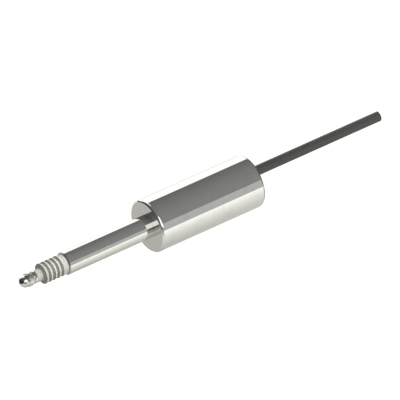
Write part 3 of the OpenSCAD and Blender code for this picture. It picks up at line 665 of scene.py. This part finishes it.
def coil_spring():
    """Geometry tree: a wire wound about X between two stations, with one closed turn at each end."""
    tree, entry = new_tree("coil_spring", [
        ("Wire radius", "Float"), ("Wire sides", "Int"), ("Coil radius", "Float"), ("Front", "Float"),
        ("Length", "Float"), ("Working turns", "Float"), ("Closed pitch", "Float"),
        ("Steps per turn", "Float"), ("Wire", "Material")])
    turns = calc(tree, "ADD", entry["Working turns"], 2.0)
    steps = calc(tree, "ADD", calc(tree, "MULTIPLY", turns, entry["Steps per turn"]), 1.0)
    line = add(tree, "GeometryNodeMeshLine", {"Count": steps})
    index = tree.nodes.new("GeometryNodeInputIndex").outputs[0]
    turn = calc(tree, "DIVIDE", index, entry["Steps per turn"])
    past_closed = calc(tree, "MAXIMUM", calc(tree, "SUBTRACT", turn, 1.0), 0.0)
    working = calc(tree, "MINIMUM", past_closed, entry["Working turns"])
    closed_length = calc(tree, "MULTIPLY", entry["Closed pitch"], 2.0)
    working_length = calc(tree, "SUBTRACT", entry["Length"], closed_length)
    pitch = calc(tree, "DIVIDE", working_length, entry["Working turns"])
    closed = calc(tree, "MULTIPLY", calc(tree, "SUBTRACT", turn, working), entry["Closed pitch"])
    advance = calc(tree, "ADD", closed, calc(tree, "MULTIPLY", working, pitch))
    angle = calc(tree, "MULTIPLY", turn, 2 * math.pi)
    wound = add(tree, "ShaderNodeCombineXYZ", {
        0: calc(tree, "ADD", advance, entry["Front"]),
        1: calc(tree, "MULTIPLY", entry["Coil radius"], calc(tree, "COSINE", angle)),
        2: calc(tree, "MULTIPLY", entry["Coil radius"], calc(tree, "SINE", angle))})
    coiled = add(tree, "GeometryNodeSetPosition", {"Geometry": line.outputs[0], "Position": wound.outputs[0]})
    path = add(tree, "GeometryNodeMeshToCurve", {"Mesh": coiled.outputs[0]})
    section = add(tree, "GeometryNodeCurvePrimitiveCircle", {
        "Resolution": entry["Wire sides"], "Radius": entry["Wire radius"]})
    wire = add(tree, "GeometryNodeCurveToMesh", {
        "Curve": path.outputs[0], "Profile Curve": section.outputs[0], "Fill Caps": True})
    end_tree(tree, wire.outputs[0], entry["Wire"])
    return tree


spring_wire = metal("spring_wire", spring_steel, roughness=0.25, pitch=0.00004, depth=0.0008, patch=0.001)
spring = made_by(coil_spring(), "return_spring_wire", [(0, 0, 0)], [], {
    "Wire radius": spring_wire_radius,
    "Wire sides": spring_wire_sides,
    "Coil radius": spring_high.z - spring_wire_radius,
    "Front": spring_low.x + spring_wire_radius,
    "Length": spring_length - 2 * spring_wire_radius,
    "Working turns": float(spring_working_turns),
    "Closed pitch": spring_closed_pitch,
    "Steps per turn": 40.0,
    "Wire": spring_wire})
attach(spring, "housing")
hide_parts("return_spring")
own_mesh(spring)


# Spring seat: a flanged bush, turned from brass and pressed into the stem's rear end. The return spring
# pushes against it.
dress(["spring_seat"], metal("turned_brass_seat", brass, roughness=0.22, pitch=0.00007, depth=0.0015))


# Core, its rod and its nut: a nickel-iron core, annealed after turning, on a drawn non-magnetic rod that
# the spindle's tail carries. A brass nut holds the core on the rod.
rod_steel = (0.62, 0.60, 0.58, 1)
core_iron = (0.40, 0.40, 0.38, 1)
dress(["core_rod"], metal("drawn_core_rod", rod_steel, roughness=0.2, pitch=0.00006, depth=0.001))
dress(["core"], metal("annealed_core", core_iron, roughness=0.4, pitch=0.00008, depth=0.002))
dress(["core_nut"], metal("brass_nut", brass, roughness=0.24, pitch=0.00007, depth=0.0015))


# Coil former and windings: a bobbin moulded from pale plastic, with three bays. Each bay is wound full
# of enamelled copper wire, the primary in the middle and a secondary on each side of it.
former_dark = (0.66, 0.61, 0.47, 1)
former_pale = (0.74, 0.70, 0.56, 1)
wire_pitch = 0.00016
wire_shaded_copper = (0.20, 0.07, 0.03, 1)
wire_lit_copper = (0.62, 0.28, 0.12, 1)
dress(["coil_former"], moulded("former_plastic", former_dark, former_pale, grain_size=0.0002, roughness=0.5))

winding, winding_tree, winding_shader = new_finish("enamelled_winding")
# Copper colour with painted shading of the round turns: a painted highlight on each turn's crown and painted
# shade between the turns
winding_angle = calc(winding_tree, "MULTIPLY", surface_place(winding_tree)["X"], 2 * math.pi / wire_pitch)
winding_wave = calc(winding_tree, "SINE", winding_angle)
winding_round = mapped(winding_tree, winding_wave, -1.0, 1.0, 0.0, 1.0, smooth=False)
winding_colour = mixed(winding_tree, winding_round, wire_shaded_copper, wire_lit_copper)
winding_tree.links.new(winding_colour, winding_shader.inputs["Base Color"])
winding_relief = add(winding_tree, "ShaderNodeBump", {
    "Strength": 0.8, "Distance": wire_pitch / 2, "Height": winding_round})
winding_tree.links.new(winding_relief.outputs[0], winding_shader.inputs["Normal"])
winding_shader.inputs["Metallic"].default_value = 0.8
winding_shader.inputs["Roughness"].default_value = 0.28
dress(["front_secondary", "primary_winding", "rear_secondary"], winding)


# Magnetic screen: a tube and two pole washers of nickel-iron, annealed dull grey. They close round the
# coil inside the body and keep stray fields off its windings.
screen_iron = (0.42, 0.42, 0.40, 1)
dress(["shield_tube", "front_pole_washer", "rear_pole_washer"],
      metal("annealed_screen", screen_iron, roughness=0.38, pitch=0.0001, depth=0.002))


# Spacer, terminal pins and board: a plastic ring keeps the coil forward, and the windings' ends are
# soldered to a round laminate board on six brass pins.
spacer_dark = (0.72, 0.71, 0.66, 1)
spacer_pale = (0.80, 0.79, 0.75, 1)
pin_brass = (0.72, 0.60, 0.30, 1)
board_dark = (0.03, 0.12, 0.06, 1)
board_pale = (0.06, 0.20, 0.10, 1)
dress(["coil_spacer"], moulded("spacer_plastic", spacer_dark, spacer_pale, grain_size=0.0002, roughness=0.5))
dress(["terminal_pins"], metal(
    "tinned_pins", pin_brass, roughness=0.25, pitch=0.00005, depth=0.001, patch=0.0006))
dress(["terminal_board"], moulded(
    "board_laminate", board_dark, board_pale, grain_size=0.0001, roughness=0.4))


# Cable's inner end: four cores soldered to the board, and a crimped brass ferrule that keeps the cable
# from being pulled out.
dress(["conductors"], insulation)
dress(["cable_ferrule"], metal("crimped_ferrule", brass, roughness=0.28, pitch=0.00007, depth=0.0015))


# Rear cap, its seal and the grommet: a turned plug closes the body, with an O-ring on its spigot and a
# rubber bush that seals the cable.
cap_steel = (0.72, 0.72, 0.70, 1)
seal_dark = (0.018, 0.018, 0.018, 1)
seal_pale = (0.03, 0.03, 0.03, 1)
dress(["rear_cap"], metal(
    "turned_cap", cap_steel, roughness=0.36, pitch=0.00025, depth=0.004, metallic=0.7))
dress(["cap_seal", "cable_grommet"], moulded(
    "seal_rubber", seal_dark, seal_pale, grain_size=0.0001, roughness=0.6))


# Bellows: one moulding of pale grey silicone rubber that keeps dirt off the spindle. Its rear cuff sits on
# the nose bush, and its front cuff grips the spindle.
bellows_low, bellows_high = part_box("bellows")
crest_radius = bellows_high.z
root_radius = 0.0025
fold_count = 5
fold_pitch = 0.0017
crest_half = 0.00029
root_half = 0.0002
bellows_wall = 0.00025
first_crest_gap = 0.00186
first_crest_x = stem_front_x - first_crest_gap
last_crest_x = first_crest_x - (fold_count - 1) * fold_pitch
rear_cuff_drop = 0.00015
rear_cuff_wall = 0.00045
rear_cuff_radius = crest_radius - rear_cuff_drop
rear_cuff_bore = rear_cuff_radius - rear_cuff_wall
front_cuff_radius = 0.0021
front_cuff_bore = 0.00177
rubber_rounding = 0.00015
rubber_dark = (0.41, 0.40, 0.358, 1)
rubber_pale = (0.48, 0.47, 0.425, 1)
# Colour of the crests' tops: a painted highlight
crest_painted_highlight = (0.56, 0.55, 0.50, 1)
# Depth below the crests at which their painted highlight, a paler skin, starts, and at which it is full
crest_highlight_start, crest_highlight_full = 0.00005, 0.00001
# Slope of the folds' flanks, and the shift of the inner wall's corners that keeps the wall's thickness
flank_slope = (crest_radius - root_radius) / (fold_pitch / 2 - crest_half - root_half)
wall_shift = bellows_wall * math.tan(math.atan(flank_slope) / 2)


def revolved_folds():
    """Geometry tree: rounds the corners of an outline of (x, 0, radius) points, turns it about X, and
    repeats it along X at a pitch."""
    hub_radius = 0.001
    weld_distance = 1e-6
    tree, entry = new_tree("revolved_folds", [
        ("Repeats", "Int"), ("Pitch", "Float"), ("Segments", "Int"), ("Corner steps", "Int"),
        ("Rubber", "Material")])
    outline = add(tree, "GeometryNodeMeshToCurve", {"Mesh": entry["Geometry"]})
    rounding = add(tree, "GeometryNodeInputNamedAttribute", {"Name": "rounding"}, data_type="FLOAT")
    eased = add(tree, "GeometryNodeFilletCurve", {
        "Curve": outline.outputs[0], "Count": entry["Corner steps"],
        "Radius": rounding.outputs["Attribute"], "Limit Radius": True}, mode="POLY")
    position = tree.nodes.new("GeometryNodeInputPosition").outputs[0]
    place = add(tree, "ShaderNodeSeparateXYZ", {0: position}).outputs
    section_place = add(tree, "ShaderNodeCombineXYZ", {
        0: calc(tree, "SUBTRACT", place["Z"], hub_radius),
        1: calc(tree, "MULTIPLY", place["X"], -1.0)})
    section = add(tree, "GeometryNodeSetPosition", {
        "Geometry": eased.outputs[0], "Position": section_place.outputs[0]})
    hub = add(tree, "GeometryNodeCurvePrimitiveCircle", {
        "Resolution": entry["Segments"], "Radius": hub_radius})
    turned = add(tree, "GeometryNodeCurveToMesh", {
        "Curve": hub.outputs[0], "Profile Curve": section.outputs[0]})
    lying = add(tree, "GeometryNodeTransform", {
        "Geometry": turned.outputs[0], "Rotation": (0, math.pi / 2, 0)})
    step = add(tree, "ShaderNodeCombineXYZ", {0: calc(tree, "MULTIPLY", entry["Pitch"], -1.0)})
    row = add(tree, "GeometryNodeMeshLine", {"Count": entry["Repeats"], "Offset": step.outputs[0]})
    copies = add(tree, "GeometryNodeInstanceOnPoints", {
        "Points": row.outputs[0], "Instance": lying.outputs[0]})
    joined = add(tree, "GeometryNodeRealizeInstances", {0: copies.outputs[0]})
    welded = add(tree, "GeometryNodeMergeByDistance", {
        "Geometry": joined.outputs[0], "Distance": weld_distance})
    end_tree(tree, welded.outputs[0], entry["Rubber"])
    return tree


def chain(*runs):
    """Points and edges of one or more open runs of (x, radius) points, in a half section."""
    points, edges = [], []
    for run in runs:
        edges += [(len(points) + k, len(points) + k + 1) for k in range(len(run) - 1)]
        points += [(x, 0, radius) for x, radius in run]
    return points, edges


def close_ends(piece):
    """Closes a turned wall between its open edges, and points its faces outwards."""
    same_spot = 1e-7
    same_end = 2e-6
    shell = bmesh.new()
    shell.from_mesh(piece.data)
    bmesh.ops.remove_doubles(shell, verts=shell.verts, dist=same_spot)
    rims = [edge for edge in shell.edges if edge.is_boundary]
    for end_x in sorted({round(edge.verts[0].co.x, 6) for edge in rims}):
        rim = [edge for edge in rims if abs(edge.verts[0].co.x - end_x) < same_end]
        bmesh.ops.bridge_loops(shell, edges=rim)
    bmesh.ops.recalc_face_normals(shell, faces=shell.faces)
    for face in shell.faces:
        face.smooth = True
    shell.to_mesh(piece.data)
    shell.free()


rubber = moulded("bellows_rubber", rubber_dark, rubber_pale, grain_size=0.00012, roughness=0.55, bump=0.06)
rubber_tree = rubber.node_tree
rubber_skin = rubber_tree.nodes["Principled BSDF"].inputs["Base Color"]
rubber_place = surface_place(rubber_tree)
rubber_away = length_of(rubber_tree, rubber_place["Y"], rubber_place["Z"])
# Painted highlight: the crests' tops are made paler, standing in for the light that falls on them
crest_highlight_share = mapped(rubber_tree, rubber_away, crest_radius - crest_highlight_start, crest_radius - crest_highlight_full, 0.0, 1.0)
rubber_tone = rubber_skin.links[0].from_socket
rubber_tree.links.new(mixed(rubber_tree, crest_highlight_share, rubber_tone, crest_painted_highlight), rubber_skin)
fold_outside = [
    (first_crest_x, crest_radius),
    (first_crest_x - crest_half, crest_radius),
    (first_crest_x - fold_pitch / 2 + root_half, root_radius),
    (first_crest_x - fold_pitch / 2 - root_half, root_radius),
    (first_crest_x - fold_pitch + crest_half, crest_radius),
    (first_crest_x - fold_pitch, crest_radius),
]
fold_inside = [
    (first_crest_x, crest_radius - bellows_wall),
    (first_crest_x - crest_half + wall_shift, crest_radius - bellows_wall),
    (first_crest_x - fold_pitch / 2 + root_half + wall_shift, root_radius - bellows_wall),
    (first_crest_x - fold_pitch / 2 - root_half - wall_shift, root_radius - bellows_wall),
    (first_crest_x - fold_pitch + crest_half - wall_shift, crest_radius - bellows_wall),
    (first_crest_x - fold_pitch, crest_radius - bellows_wall),
]
rear_cuff_front_x = first_crest_x + crest_half + 2 * rear_cuff_drop
rear_cuff_outline = [
    (first_crest_x, crest_radius),
    (first_crest_x + crest_half, crest_radius),
    (rear_cuff_front_x, rear_cuff_radius),
    (bellows_high.x, rear_cuff_radius),
    (bellows_high.x, rear_cuff_bore),
    (rear_cuff_front_x, rear_cuff_bore),
    (first_crest_x + crest_half - wall_shift, crest_radius - bellows_wall),
    (first_crest_x, crest_radius - bellows_wall),
]
front_cuff_rear_x = last_crest_x - crest_half - (crest_radius - front_cuff_radius) / flank_slope
front_bore_rear_x = last_crest_x - crest_half + wall_shift - (
    crest_radius - bellows_wall - front_cuff_bore) / flank_slope
front_cuff_outline = [
    (last_crest_x, crest_radius),
    (last_crest_x - crest_half, crest_radius),
    (front_cuff_rear_x, front_cuff_radius),
    (bellows_low.x, front_cuff_radius),
    (bellows_low.x, front_cuff_bore),
    (front_bore_rear_x, front_cuff_bore),
    (last_crest_x - crest_half + wall_shift, crest_radius - bellows_wall),
    (last_crest_x, crest_radius - bellows_wall),
]
fold_tree = revolved_folds()
for name, runs, repeats, body in (
    ("bellows_rear_cuff", [rear_cuff_outline], 1, "housing"),
    ("bellows_folds", [fold_outside, fold_inside], fold_count - 1, "housing"),
    ("bellows_front_cuff", [front_cuff_outline], 1, "plunger"),
):
    points, edges = chain(*runs)
    part = made_by(fold_tree, name, points, edges, {
        "Repeats": repeats, "Pitch": fold_pitch, "Segments": 128, "Corner steps": 5, "Rubber": rubber},
        rounding=[rubber_rounding] * len(points))
    close_ends(part)
    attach(part, body)
    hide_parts("bellows")
    if repeats > 1:
        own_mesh(part)


# Contact tip: a bright chromed holder screwed into the spindle, with a polished carbide ball bonded into
# its seat. The ball is all that touches the work.
tip_chrome = (0.86, 0.83, 0.80, 1)
ball_carbide = (0.80, 0.79, 0.77, 1)
dress(["contact_tip"], metal(
    "chromed_tip", tip_chrome, roughness=0.24, pitch=0.00005, depth=0.0003, patch=0.0015, metallic=0.95))
dress(["tip_ball"], metal(
    "polished_carbide", ball_carbide, roughness=0.02, pitch=0.00003, depth=0.0001, patch=0.001))
